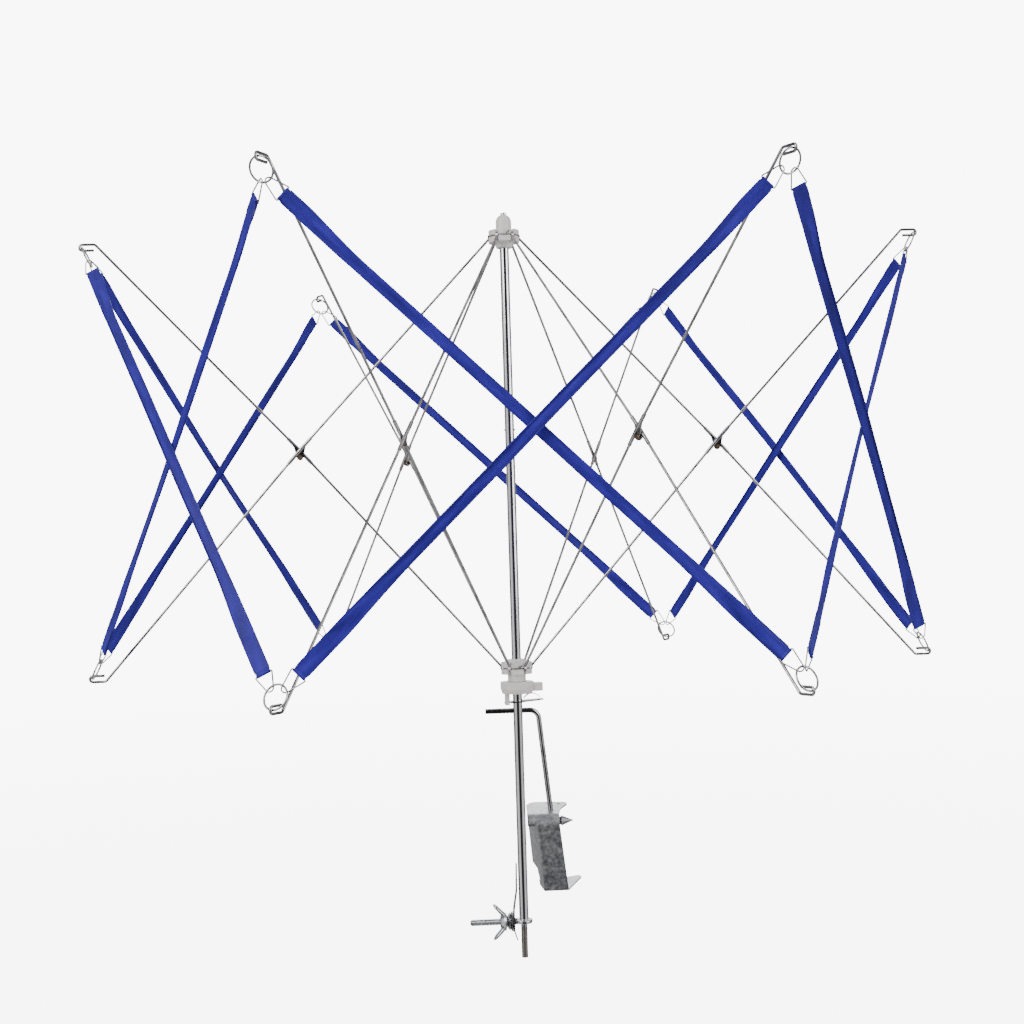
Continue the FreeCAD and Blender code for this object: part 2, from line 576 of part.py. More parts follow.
def jaw_bracket(rod_x):
    thick = S["SheetThickness"]
    cheek_top = FLANGE_TOP - 7.0
    bend_x, bend_length, bend_outer = 5.0, 24.2, 7.2
    cheek = blank("jaw_cheek", [(11.8, cheek_top), (29.2, cheek_top), (35.4, FLANGE_FOOT),
                                (16.8, FLANGE_FOOT)], "Sizes.SheetThickness",
                  place=at(0, FRONT + thick, 0, UPRIGHT_SHEET))
    bend_place = frame_place(Z_AXIS, -Y_AXIS, X_AXIS,
                             Vector(bend_x, FRONT + bend_outer, FLANGE_TOP - bend_outer))
    outer = cylinder("jaw_bend_outer", str(bend_outer), str(bend_length), bend_place)
    outer.Angle = 90
    inner = cylinder("jaw_bend_inner", str(bend_outer - thick), str(bend_length + 2),
                     bend_place.multiply(at(z=-1)))
    bend = cut("jaw_bend", outer, [inner])
    top = blank("jaw_top_flange", [
        (5.0, FRONT + 7.0), (29.2, FRONT + 7.0), (31.4, 4.0), (36.4, 12.5),
        (33.0, 18.5, 36.6, 16.6), (25.0, 19.6), (14.0, 20.0), (6.2, 12.0, 8.2, 17.6)],
        "Sizes.SheetThickness", [(30.6, 13.6, 1.3), (rod_x, 0.0, S["ClampRodRadius"] + 0.12)],
        at(z=FLANGE_TOP - thick))
    along = Vector(-5.5, 31.0, 0).normalize()
    up = Vector(-5.0, 0, 52.0)
    up = (up - along * up.dot(along)).normalize()
    wall = blank("jaw_left_wall", [
        (0.0, 0.0), (13.0, 0.0), (16.0, 9.0, 13.6, 6.6), (16.0, 12.0), (31.4, 12.0), (31.4, 58.3),
        (7.4, 58.3), (0.0, 52.6)], "Sizes.SheetThickness",
        place=frame_place(along, up, along.cross(up), Vector(16.8, FRONT, FLANGE_FOOT)))
    bottom = blank("jaw_bottom_flange", [
        (16.8, FRONT), (35.4, FRONT), (40.0, -4.0), (46.6, 9.0), (44.6, 13.4, 47.0, 12.0),
        (34.0, 10.4), (14.2, 8.0), (14.4, 0.0)], "Sizes.SheetThickness", place=at(z=FLANGE_FOOT))
    solid = fuse("jaw_solid", [cheek, bend, top, wall, bottom])
    spike_hole = cylinder("jaw_spike_hole", "Sizes.SpikeShankRadius + 0.05", "12",
                          at(3.0, SPIKE_Y, SPIKE_Z, ALONG_X))
    keep("jaw_bracket", cut("jaw_pierced", solid, [spike_hole]), JAW_SWING)


def jaw_spike():
    def place(x):
        return at(x, SPIKE_Y, SPIKE_Z, ALONG_X)
    pieces = [
        cylinder("spike_rivet_head", "Sizes.SpikeRadius", "1.2", place(SPIKE_HEAD_X)),
        cylinder("spike_shank", "Sizes.SpikeShankRadius", str(SPIKE_BASE_X - SPIKE_HEAD_X - 1),
                 place(SPIKE_HEAD_X + 1)),
        cone("spike_point", "Sizes.SpikeRadius", "0.3", str(SPIKE_LENGTH), place(SPIKE_BASE_X)),
    ]
    keep("jaw_spike", fuse("jaw_spike_solid", pieces), JAW_SWING)


BOLT_END_X = -40.2


def clamp_bolt():
    height = S["BoltHeight"]
    chamfer = 0.8
    rod = cylinder("bolt_rod", "Sizes.BoltRadius", str(-BOLT_END_X - chamfer - 5),
                   at(-5, 0, height, ALONG_MINUS_X))
    tip = cone("bolt_tip", "Sizes.BoltRadius", "Sizes.BoltRadius - 0.8", str(chamfer),
               at(BOLT_END_X + chamfer, 0, height, ALONG_MINUS_X))
    eye = cylinder("bolt_eye", "Sizes.BoltEyeRadius", "3", at(z=height - 1.5))
    hole = cylinder("bolt_eye_hole", "Sizes.ShaftRadius + 0.02", "10", at(z=height - 5))
    keep("clamp_bolt", cut("clamp_bolt_solid", fuse("bolt_forged", [rod, tip, eye]), [hole]))


def clamp_leaf():
    """A bowed steel strip between the bolt's washers and the shaft, pointed at its lower end."""
    side_view = blank("leaf_bow", [
        (-5.2, 70.0), (-5.6, 50.0), (-7.9, 36.0), (-7.9, 20.0), (-5.6, 13.0), (-4.6, 13.0),
        (-6.9, 20.0), (-6.9, 36.0), (-4.6, 50.0), (-4.2, 70.0)], "12", place=at(0, 6, 0, UPRIGHT_SHEET))
    face_view = blank("leaf_taper", [
        (2.0, 70.5), (-2.0, 70.5), (-4.6, 36.0), (-4.6, 21.0), (-0.8, 12.0), (0.8, 12.0), (4.6, 21.0),
        (4.6, 36.0)], "12", place=frame_place(Y_AXIS, Z_AXIS, X_AXIS, Vector(-12, 0, 0)))
    shape = doc.addObject("Part::Common", "leaf_formed")
    shape.Base = side_view
    shape.Tool = face_view
    hole = cylinder("leaf_hole", "Sizes.BoltRadius + 0.1", "12",
                    at(-1, 0, S["BoltHeight"], ALONG_MINUS_X))
    keep("clamp_leaf", cut("clamp_leaf_pierced", shape, [hole]))


def clamp_washers():
    height = S["BoltHeight"]
    flat_x, dish_rise, wall, rim, crown = -8.0, 2.2, 0.8, 7.2, 4.0
    stack = [cylinder("washer_flat", "7.5", "1.0", at(flat_x, 0, height, ALONG_MINUS_X))]
    for number, x in enumerate((-9.2, -10.5)):
        name = "washer_dished_%d" % number
        place = at(x, 0, height, ALONG_MINUS_X)
        stack.append(cut(name, cone(name + "_outer", str(rim), str(crown), str(dish_rise), place),
                         [cone(name + "_inner", str(rim - wall), str(crown - wall), str(dish_rise), place)]))
    hole = cylinder("washers_hole", "Sizes.BoltRadius + 0.05", "20", at(-1, 0, height, ALONG_MINUS_X))
    rings = [cut("washer_flat_ring", stack[0], [hole])] + stack[1:]
    group = doc.addObject("Part::Compound", "washers_stacked")
    group.Links = rings
    keep("clamp_washers", group)


def wing_nut():
    height = S["BoltHeight"]
    face_x, length = -13.0, 4.8
    pieces = [cone("nut_body", "6.8", "4.0", str(length), at(face_x, 0, height, ALONG_MINUS_X))]
    reach, thick, width = 11.0, 3.0, 8.0
    tip = Vector(-22.7, 0, 13.1)
    for name, up in (("upper", 1), ("lower", -1)):
        along = Vector(-6.9, 0, 6.0 * up).normalize()
        root = Vector(tip.x, 0, tip.z * up) - along * reach + Vector(0, 0, height)
        normal = along.cross(Y_AXIS)
        corner = root - Y_AXIS * (width / 2) - normal * (thick / 2)
        pieces.append(box("nut_wing_" + name, str(reach), str(width), str(thick),
                          frame_place(along, Y_AXIS, normal, corner)))
    hole = cylinder("nut_bore", "Sizes.BoltRadius + 0.05", "20", at(-5, 0, height, ALONG_MINUS_X))
    keep("wing_nut", cut("wing_nut_threaded", fuse("wing_nut_solid", pieces), [hole]))


def build():
    shaft()
    stop_pin()
    top_hub()
    tie_wire("top_tie_wire", S["TopPivotHeight"])
    runner_hub()
    tie_wire("runner_tie_wire", S["RunnerPivotHeight"])
    runner_collar()
    lock_plate()
    lock_spring()
    for arm in range(ARMS):
        rib("rib_down_%d" % arm, arm, S["TopPivotHeight"], S["RunnerPivotHeight"], 1)
        rib("rib_up_%d" % arm, arm, S["RunnerPivotHeight"], S["TopPivotHeight"], -1)
        rivet(arm)
        ring("upper_ring_%d" % arm, arm, True)
        ring("lower_ring_%d" % arm, arm, False)
        strap(arm, 1)
        strap(arm, -1)
    jaw_bracket(clamp_rod())
    jaw_spike()
    clamp_bolt()
    clamp_leaf()
    clamp_washers()
    wing_nut()


def check_and_write():
    doc.recompute()
    for thing in doc.Objects:
        if "Invalid" in thing.State or "Error" in thing.State:
            raise RuntimeError("%s failed: %s" % (thing.Name, thing.State))
    os.makedirs("parts", exist_ok=True)
    for name, thing in parts.items():
        shape = thing.Shape
        if shape.isNull() or not shape.isValid():
            raise RuntimeError("%s has no valid shape" % name)
        shape.exportStep(os.path.join("parts", name + ".step"))
        box_size = shape.BoundBox
        print("%-16s solids %d volume %9.1f  z %7.1f %7.1f" % (
            name, len(shape.Solids), shape.Volume, box_size.ZMin, box_size.ZMax))


build()
check_and_write()
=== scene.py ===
import json
import math

import bpy
from mathutils import Matrix, Vector


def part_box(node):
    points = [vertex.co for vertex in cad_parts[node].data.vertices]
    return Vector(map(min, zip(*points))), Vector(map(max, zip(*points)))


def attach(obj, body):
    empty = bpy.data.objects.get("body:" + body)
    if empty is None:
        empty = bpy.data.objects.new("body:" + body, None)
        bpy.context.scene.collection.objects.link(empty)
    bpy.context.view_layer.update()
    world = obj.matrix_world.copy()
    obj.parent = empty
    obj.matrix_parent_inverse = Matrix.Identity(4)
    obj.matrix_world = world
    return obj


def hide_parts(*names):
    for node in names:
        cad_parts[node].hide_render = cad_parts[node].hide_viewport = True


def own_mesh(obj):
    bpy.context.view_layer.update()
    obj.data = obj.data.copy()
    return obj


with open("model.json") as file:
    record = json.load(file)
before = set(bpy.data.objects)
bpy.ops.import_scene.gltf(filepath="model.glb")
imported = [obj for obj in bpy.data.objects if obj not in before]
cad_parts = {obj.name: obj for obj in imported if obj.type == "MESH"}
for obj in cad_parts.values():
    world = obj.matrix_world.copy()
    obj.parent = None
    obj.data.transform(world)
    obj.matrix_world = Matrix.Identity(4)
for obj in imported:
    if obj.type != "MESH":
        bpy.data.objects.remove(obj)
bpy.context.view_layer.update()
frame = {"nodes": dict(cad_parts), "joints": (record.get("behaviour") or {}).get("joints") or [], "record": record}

# Looks of the yarn swift: ribbons, bails, threads and materials round the CAD frame. Metres, +Z up.

MM = 0.001
ARMS = 6
ARM_ANGLE = 2 * math.pi / ARMS
JOINTS = {joint["name"]: joint for joint in frame["joints"]}
X_AXIS, Y_AXIS, Z_AXIS = Vector((1, 0, 0)), Vector((0, 1, 0)), Vector((0, 0, 1))

# ---- camera ----

CAMERA_PLACE = Vector((-0.0692, -1.1933, 0.3117))
CAMERA_AIM = Vector((0.0579, 0.998, 0.0176))
CAMERA_UP = Vector((0.0286, -0.0193, 0.9994))
CAMERA_LENS = 55.97


def turned(x_dir, y_dir, z_dir, origin=Vector()):
    """A matrix from three unit directions and an origin."""
    matrix = Matrix((x_dir, y_dir, z_dir)).transposed().to_4x4()
    matrix.translation = origin
    return matrix


def make_camera():
    data = bpy.data.cameras.new("camera")
    data.lens = CAMERA_LENS
    data.sensor_width = 36
    camera = bpy.data.objects.new("camera", data)
    back = -CAMERA_AIM.normalized()
    right = CAMERA_UP.cross(back).normalized()
    camera.matrix_world = turned(right, back.cross(right), back, CAMERA_PLACE)
    bpy.context.scene.collection.objects.link(camera)
    bpy.context.scene.camera = camera


# ---- material building blocks ----

MIX_SHARE, MIX_FIRST, MIX_SECOND, MIX_RESULT = 0, 6, 7, 2  # sockets of a mix node that mixes colours


class Nodes:
    """Short calls for wiring one material's or the world's nodes."""

    def __init__(self, tree):
        self.tree = tree
        tree.nodes.clear()

    def add(self, kind, **values):
        """A new node. A value sets the node's property of that name, or else its input socket."""
        node = self.tree.nodes.new(kind)
        for key, value in values.items():
            if hasattr(node, key):
                setattr(node, key, value)
            else:
                self.named_input(node, key.replace("_", " ")).default_value = value
        return node

    @staticmethod
    def named_input(node, name):
        for socket in node.inputs:
            if socket.name.lower() == name:
                return socket
        raise KeyError(name)

    def link(self, source, output, target, socket):
        self.tree.links.new(source.outputs[output], target.inputs[socket])

    def ramp(self, source, output, stops):
        """A colour ramp. A stop's colour is red, green and blue, or one grey value."""
        node = self.tree.nodes.new("ShaderNodeValToRGB")
        elements = node.color_ramp.elements
        while len(elements) < len(stops):
            elements.new(0.5)
        for element, (place, colour) in zip(elements, stops):
            element.position = place
            element.color = (*colour, 1) if len(colour) == 3 else (*colour * 3, 1)
        self.link(source, output, node, "Fac")
        return node

    def noise(self, scale, detail=3.0, roughness=0.5, stretch=None, coordinates="Object"):
        place = self.add("ShaderNodeTexCoord")
        node = self.add("ShaderNodeTexNoise", scale=scale, detail=detail, roughness=roughness)
        if stretch:
            mapping = self.add("ShaderNodeMapping")
            mapping.inputs["Scale"].default_value = stretch
            self.link(place, coordinates, mapping, "Vector")
            self.link(mapping, "Vector", node, "Vector")
        else:
            self.link(place, coordinates, node, "Vector")
        return node

    def bump(self, source, output, strength, distance, under=None):
        node = self.add("ShaderNodeBump", strength=strength, distance=distance)
        self.link(source, output, node, "Height")
        if under:
            self.link(under, "Normal", node, "Normal")
        return node

    def mix_colours(self, first, second, blend, share):
        node = self.add("ShaderNodeMix", data_type="RGBA", blend_type=blend)
        node.inputs[MIX_SHARE].default_value = share
        self.link(first, "Color", node, MIX_FIRST)
        self.link(second, "Color", node, MIX_SECOND)
        return node

    def mix_shaders(self, share, output, first, second):
        node = self.add("ShaderNodeMixShader")
        self.link(share, output, node, 0)
        self.link(first, 0, node, 1)
        self.link(second, 0, node, 2)
        return node

    def finish(self, shader, kind="ShaderNodeOutputMaterial"):
        self.link(shader, 0, self.add(kind), "Surface")


def new_material(name):
    material = bpy.data.materials.new(name)
    material.use_nodes = True
    nodes = Nodes(material.node_tree)
    shader = nodes.add("ShaderNodeBsdfPrincipled")
    nodes.finish(shader)
    return material, nodes, shader


def set_inputs(shader, **values):
    for name, value in values.items():
        shader.inputs[name.replace("_", " ")].default_value = value


# ---- materials ----

def plated_wire(name, dark, light, rough_low, rough_high):
    """Bright plated wire: cloudy plating, fine draw marks and small dull patches."""
    material, nodes, shader = new_material(name)
    set_inputs(shader, Metallic=1.0)
    cloud = nodes.noise(90.0, 4.0, 0.6)
    tone = nodes.ramp(cloud, "Fac", [(0.35, dark), (0.62, light)])
    nodes.link(tone, "Color", shader, "Base Color")
    dull = nodes.noise(420.0, 3.0, 0.65)
    rough = nodes.ramp(dull, "Fac", [(0.3, (rough_low,)), (0.75, (rough_high,))])
    nodes.link(rough, "Color", shader, "Roughness")
    marks = nodes.noise(2600.0, 2.0, 0.5)
    nodes.link(nodes.bump(marks, "Fac", 0.08, 0.0002), "Normal", shader, "Normal")
    return material


PLATING_EDGE = 1.5 * MM  # half the height over which the shaft's plating gives way to plain steel


def shaft_steel():
    """The shaft: bright plating, with a plain and darker lower end."""
    material, nodes, shader = new_material("shaft_steel")
    set_inputs(shader, Metallic=1.0)
    place = nodes.add("ShaderNodeTexCoord")
    split = nodes.add("ShaderNodeSeparateXYZ")
    nodes.link(place, "Object", split, "Vector")
    foot_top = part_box("clamp_bolt")[0].z
    height = nodes.add("ShaderNodeMapRange", from_min=foot_top - PLATING_EDGE,
                       from_max=foot_top + PLATING_EDGE)
    nodes.link(split, "Z", height, "Value")
    cloud = nodes.noise(70.0, 4.0, 0.6, (1, 1, 0.12))
    plated = nodes.ramp(cloud, "Fac", [(0.35, (0.68, 0.67, 0.67)), (0.65, (0.86, 0.86, 0.88))])
    pits = nodes.noise(900.0, 5.0, 0.7)
    plain = nodes.ramp(pits, "Fac", [(0.35, (0.12, 0.11, 0.10)), (0.7, (0.42, 0.40, 0.38))])
    colour = nodes.mix_colours(plain, plated, "MIX", 0.5)
    nodes.link(height, "Result", colour, MIX_SHARE)
    nodes.link(colour, MIX_RESULT, shader, "Base Color")
    rough = nodes.ramp(height, "Result", [(0.0, (0.48,)), (1.0, (0.14,))])
    nodes.link(rough, "Color", shader, "Roughness")
    draw = nodes.noise(1500.0, 3.0, 0.5, (1, 1, 0.02))
    nodes.link(nodes.bump(draw, "Fac", 0.1, 0.0002), "Normal", shader, "Normal")
    return material


def milky_plastic():
    """Moulded milky plastic: soft light through it, faint flow marks and a dull skin."""
    material, nodes, shader = new_material("milky_plastic")
    set_inputs(shader, Subsurface_Weight=0.45, Subsurface_Scale=0.004, IOR=1.5, Coat_Weight=0.15,
               Coat_Roughness=0.3)
    shader.inputs["Subsurface Radius"].default_value = (1.0, 0.9, 0.8)
    flow = nodes.noise(120.0, 3.0, 0.55, (1, 1, 2.5))
    tone = nodes.ramp(flow, "Fac", [(0.3, (0.80, 0.76, 0.73)), (0.7, (0.92, 0.89, 0.87))])
    nodes.link(tone, "Color", shader, "Base Color")
    skin = nodes.noise(700.0, 4.0, 0.6)
    rough = nodes.ramp(skin, "Fac", [(0.3, (0.32,)), (0.7, (0.5,))])
    nodes.link(rough, "Color", shader, "Roughness")
    nodes.link(nodes.bump(skin, "Fac", 0.12, 0.0003), "Normal", shader, "Normal")
    return material


def galvanised_sheet():
    """Zinc-dipped sheet: grey crystal patches under a mottled grain that also varies the shine."""
    material, nodes, shader = new_material("galvanised_sheet")
    set_inputs(shader, Metallic=0.9)
    place = nodes.add("ShaderNodeTexCoord")
    spangle = nodes.add("ShaderNodeTexVoronoi", scale=420.0)
    nodes.link(place, "Object", spangle, "Vector")
    grain = nodes.noise(260.0, 5.0, 0.7)
    tone = nodes.ramp(grain, "Fac", [(0.3, (0.30, 0.31, 0.33)), (0.5, (0.50, 0.51, 0.52)),
                                     (0.7, (0.70, 0.71, 0.71))])
    patches = nodes.ramp(spangle, "Color", [(0.2, (0.72, 0.72, 0.74)), (0.8, (1.0, 1.0, 1.0))])
    colour = nodes.mix_colours(tone, patches, "MULTIPLY", 0.8)
    nodes.link(colour, MIX_RESULT, shader, "Base Color")
    rough = nodes.ramp(grain, "Fac", [(0.3, (0.34,)), (0.7, (0.55,))])
    nodes.link(rough, "Color", shader, "Roughness")
    nodes.link(nodes.bump(grain, "Fac", 0.25, 0.0004), "Normal", shader, "Normal")
    return material


def plain_steel(name, dark, light, rough):
    """Small metal parts: a grain that varies their tone and shine, and fine marks."""
    material, nodes, shader = new_material(name)
    set_inputs(shader, Metallic=1.0)
    grain = nodes.noise(350.0, 5.0, 0.65)
    tone = nodes.ramp(grain, "Fac", [(0.32, dark), (0.66, light)])
    nodes.link(tone, "Color", shader, "Base Color")
    dull = nodes.ramp(grain, "Fac", [(0.3, (rough * 0.75,)), (0.75, (rough * 1.35,))])
    nodes.link(dull, "Color", shader, "Roughness")
    fine = nodes.noise(2200.0, 2.0, 0.5)
    nodes.link(nodes.bump(fine, "Fac", 0.12, 0.0002), "Normal", shader, "Normal")
    return material


RIBBON_SHADE = (0.014, 0.007, 0.200)
RIBBON_TONE = (0.024, 0.012, 0.320)
RIBBON_LIGHT = (0.042, 0.024, 0.470)


def ribbon_cloth():
    """Cobalt ribbon. Its UV runs across the ribbon in u and along it in v, in ribbon widths."""
    material, nodes, shader = new_material("ribbon_cloth")
    set_inputs(shader, Sheen_Weight=0.35, Sheen_Roughness=0.35, Specular_IOR_Level=0.35)
    shader.inputs["Sheen Tint"].default_value = (0.35, 0.42, 1.0, 1)
    place = nodes.add("ShaderNodeTexCoord")
    ribs = nodes.add("ShaderNodeTexWave", wave_type="BANDS", bands_direction="X", scale=7.0,
                     distortion=0.6, detail=2.0)
    nodes.link(place, "UV", ribs, "Vector")
    picks = nodes.add("ShaderNodeTexWave", wave_type="BANDS", bands_direction="Y", scale=9.0,
                      distortion=0.8, detail=2.0)
    nodes.link(place, "UV", picks, "Vector")
    weave = nodes.add("ShaderNodeMath", operation="MULTIPLY")
    nodes.link(ribs, "Fac", weave, 0)
    nodes.link(picks, "Fac", weave, 1)
    streaks = nodes.noise(1.6, 3.0, 0.5, (3.0, 0.22, 1.0), "UV")
    tone = nodes.ramp(streaks, "Fac", [(0.28, RIBBON_SHADE), (0.5, RIBBON_TONE), (0.75, RIBBON_LIGHT)])
    threads = nodes.ramp(weave, "Value", [(0.0, (0.86, 0.86, 0.9)), (0.7, (1.0, 1.0, 1.0))])
    colour = nodes.mix_colours(tone, threads, "MULTIPLY", 1.0)
    nodes.link(colour, MIX_RESULT, shader, "Base Color")
    rough = nodes.ramp(streaks, "Fac", [(0.3, (0.48,)), (0.7, (0.62,))])
    nodes.link(rough, "Color", shader, "Roughness")
    crease = nodes.noise(1.3, 3.0, 0.55, (1.0, 1.0, 1.0), "UV")
    soft = nodes.bump(crease, "Fac", 0.15, 0.0010)
    nodes.link(nodes.bump(weave, "Value", 0.15, 0.0002, soft), "Normal", shader, "Normal")
    return material


def stitch_thread():
    """Sewing thread in the ribbon's own colour."""
    material, nodes, shader = new_material("stitch_thread")
    fibre = nodes.noise(3000.0, 2.0, 0.5)
    tone = nodes.ramp(fibre, "Fac", [(0.3, RIBBON_SHADE), (0.7, RIBBON_TONE)])
    nodes.link(tone, "Color", shader, "Base Color")
    set_inputs(shader, Roughness=0.6, Sheen_Weight=0.2)
    nodes.link(nodes.bump(fibre, "Fac", 0.4, 0.0002), "Normal", shader, "Normal")
    return material


MATERIALS = {
    "chrome_wire": plated_wire("chrome_wire", (0.28, 0.27, 0.27), (0.62, 0.61, 0.62), 0.10, 0.26),
    "spring_steel": plain_steel("spring_steel", (0.42, 0.42, 0.43), (0.76, 0.76, 0.77), 0.26),
    "zinc_steel": plain_steel("zinc_steel", (0.38, 0.39, 0.41), (0.78, 0.79, 0.81), 0.28),
    "grey_steel": plain_steel("grey_steel", (0.22, 0.22, 0.23), (0.42, 0.42, 0.43), 0.48),
    "bronze": plain_steel("bronze", (0.16, 0.10, 0.06), (0.46, 0.33, 0.22), 0.36),
    "milky_plastic": milky_plastic(),
    "galvanised_sheet": galvanised_sheet(),
    "shaft": shaft_steel(),
    "ribbon": ribbon_cloth(),
    "stitch": stitch_thread(),
}


def dress_cad_nodes():
    """Every CAD node gets the material of its record slot; the shaft has one of its own."""
    for part in frame["record"]["subparts"]:
        node = frame["nodes"][part["node"]]
        name = "shaft" if part["node"] == "shaft" else part["material_slot"]
        node.data.materials.clear()
        node.data.materials.append(MATERIALS[name])


# ---- mesh building blocks ----

def new_piece(name, points, faces, material, body, uvs=None):
    """A mesh piece that rides on a body. uvs holds one pair for each point."""
    mesh = bpy.data.meshes.new(name)
    mesh.from_pydata([tuple(point) for point in points], [], faces)
    mesh.update()
    mesh.materials.append(MATERIALS[material])
    if uvs:
        layer = mesh.uv_layers.new(name="along")
        for loop in mesh.loops:
            layer.data[loop.index].uv = uvs[loop.vertex_index]
    for polygon in mesh.polygons:
        polygon.use_smooth = True
    piece = bpy.data.objects.new(name, mesh)
    bpy.context.scene.collection.objects.link(piece)
    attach(piece, body)
    return piece


def rounded_loop(corners, radii, steps):
    """Points round a closed loop of straight runs whose corners are rounded to their radii."""
    count = len(corners)
    route = []
    for i, corner in enumerate(corners):
        back = (corners[i - 1] - corner).normalized()
        ahead = (corners[(i + 1) % count] - corner).normalized()
        half = back.angle(ahead) / 2
        centre = corner + (back + ahead).normalized() * (radii[i] / math.sin(half))
        start = corner + back * (radii[i] / math.tan(half)) - centre
        end = corner + ahead * (radii[i] / math.tan(half)) - centre
        sweep = start.angle(end)
        for step in range(steps + 1):
            share = step / steps
            weights = math.sin((1 - share) * sweep), math.sin(share * sweep)
            route.append(centre + (start * weights[0] + end * weights[1]) / math.sin(sweep))
    return route


def circle(count):
    """Cosine and sine of evenly spaced angles round a circle."""
    turns = [2 * math.pi * j / count for j in range(count)]
    return [(math.cos(turn), math.sin(turn)) for turn in turns]


def grid_faces(rows, around, closed=False):
    """Faces between neighbouring rows of a skin whose rows are rings of points.

    With closed, the last row joins the first."""
    faces = []
    for i in range(rows if closed else rows - 1):
        for j in range(around):
            a, b = i * around + j, i * around + (j + 1) % around
            c, d = ((i + 1) % rows) * around + (j + 1) % around, ((i + 1) % rows) * around + j
            faces.append((a, b, c, d))
    return faces


def end_faces(rows, around):
    """The two flat ends of a skin whose rows are rings of points."""
    return [tuple(reversed(range(around))), tuple((rows - 1) * around + j for j in range(around))]


def tube(route, radius, sides, closed=False):
    """Points and faces of round wire along a route. Its open ends are slightly rounded."""
    count = len(route)
    tangents = []
    for i in range(count):
        before = route[i - 1] if closed or i else route[i]
        after = route[(i + 1) % count] if closed or i < count - 1 else route[i]
        tangents.append((after - before).normalized())
    side = tangents[0].orthogonal().normalized()
    rings = []
    for i, tangent in enumerate(tangents):
        side = (side - tangent * side.dot(tangent)).normalized()
        rings.append((route[i], side, tangent.cross(side), radius))
    if not closed:
        tip = 0.35 * radius
        first, last = rings[0], rings[-1]
        rings.insert(0, (first[0] - tangents[0] * tip, first[1], first[2], 0.6 * radius))
        rings.append((last[0] + tangents[-1] * tip, last[1], last[2], 0.6 * radius))
    points = []
    for centre, across, up, size in rings:
        points += [centre + (across * x + up * y) * size for x, y in circle(sides)]
    faces = grid_faces(len(rings), sides, closed)
    if not closed:
        faces += end_faces(len(rings), sides)
    return points, faces


LATHE_SIDES = 40


def lathe(profile, place):
    """A ring turned about place's own Z from a closed loop of (radius, height) points."""
    points, faces = [], []
    count = len(profile)
    for x, y in circle(LATHE_SIDES):
        points += [place @ Vector((radius * x, radius * y, height)) for radius, height in profile]
    for j in range(LATHE_SIDES):
        following = (j + 1) % LATHE_SIDES
        for i in range(count):
            up = (i + 1) % count
            faces.append((j * count + i, following * count + i, following * count + up, j * count + up))
    return points, faces


def joined(*shapes):
    """Several shapes' points and faces as one shape."""
    points, faces = [], []
    for more_points, more_faces in shapes:
        start = len(points)
        points += more_points
        faces += [tuple(index + start for index in face) for face in more_faces]
    return points, faces


def smoothstep(low, high, value):
    """0 at low and 1 at high, with a smooth rise between them."""
    share = min(max((value - low) / (high - low), 0.0), 1.0)
    return share * share * (3 - 2 * share)


# ---- straps: ribbon, stitches and two bails ----

BAIL_LENGTH = 11.5 * MM
BAIL_SEAT = 0.3 * MM
BAIL_PLAY = 0.3 * MM
BAIL_HALF = 5.5 * MM
BAIL_TOP = 2.3 * MM
BAIL_CORNER = 1.0 * MM
BAIL_WIRE = 0.5 * MM
RIBBON_WIDTH = 10.0 * MM
HEM_RADIUS = 1.15 * MM
HEM_NARROWING = 1.2 * MM  # the ribbon's width pulls in by this much at its hems
HEM_EASE = 0.8 * MM, 2.6 * MM  # distances from a hem between which the full width comes back
UPPER_TAB, LOWER_TAB = 12.0 * MM, 28.0 * MM  # doubled ends of the ribbon
UPPER_TAPER, LOWER_TAPER = 46.0 * MM, 62.0 * MM  # lengths over which the edges roll in
SINGLE_LAYER, DOUBLE_LAYER, LEAST_LAYER = 0.42 * MM, 0.95 * MM, 0.12 * MM
TAB_STEP = 1.2 * MM  # length over which one layer becomes two
LIP_RADIUS = 0.55 * MM
LIP_TURN = 3.3  # radians that a fully rolled edge turns through
LEAST_ROLL = 0.02
ROLL_POWER = 0.62
CROWN, SAG = 0.25 * MM, 0.05 * MM  # how the back crowns where it is rolled and sags where it isn't
WAVES = ((0.10 * MM, 17 * MM, 1.0), (0.07 * MM, 6.1 * MM, 2.3))  # height, reach, seed's share in phase
SHIFT = 1.3 * MM  # sideways drift of the rolled ribbon
OUTER_BOW, INNER_BOW = 1.9 * MM, -0.7 * MM  # how far straps stand off each other where they cross
BOW_START, BOW_STOP = 60 * MM, 8 * MM  # the bow grows from this far from an end to this far from the middle
SIDE_TWIST = math.radians(50)
TWISTS = {"strap_5_0": SIDE_TWIST, "strap_3_4": -SIDE_TWIST}  # ribbons that hang turned on their rings
EASE, EASE_LENGTH = math.radians(7), 60 * MM  # every ribbon turns a little along its length
ACROSS = 14  # spans across one face of the ribbon
LIP_POINTS = 5
HEM_STEPS = 5  # cross sections round a quarter of a hem
FINE_STEP, COARSE_STEP, FINE_LENGTH = 1.6 * MM, 4.0 * MM, 95 * MM
HEM_CLEARANCE = 2.2 * MM


def strap_place(arm, side):
    """A strap's own frame, X from its upper ring to its lower ring and Y outwards, and its length."""
    name = "strap_%d_%d" % (arm, (arm + side) % ARMS)
    start = Vector(JOINTS[name + "_swing"]["pos_m"])
    turn = (arm + side / 2) * ARM_ANGLE
    outward = Vector((math.cos(turn), math.sin(turn), 0))
    sideways = Z_AXIS.cross(outward)
    middle = (JOINTS["fold"]["pos_m"][2] + JOINTS["runner_pivot"]["pos_m"][2]) / 2
    end = start - sideways * (2 * start.dot(sideways))
    end.z = 2 * middle - start.z
    along = end - start
    length = along.length
    along.normalize()
    return name, turned(along, outward, along.cross(outward), start), length


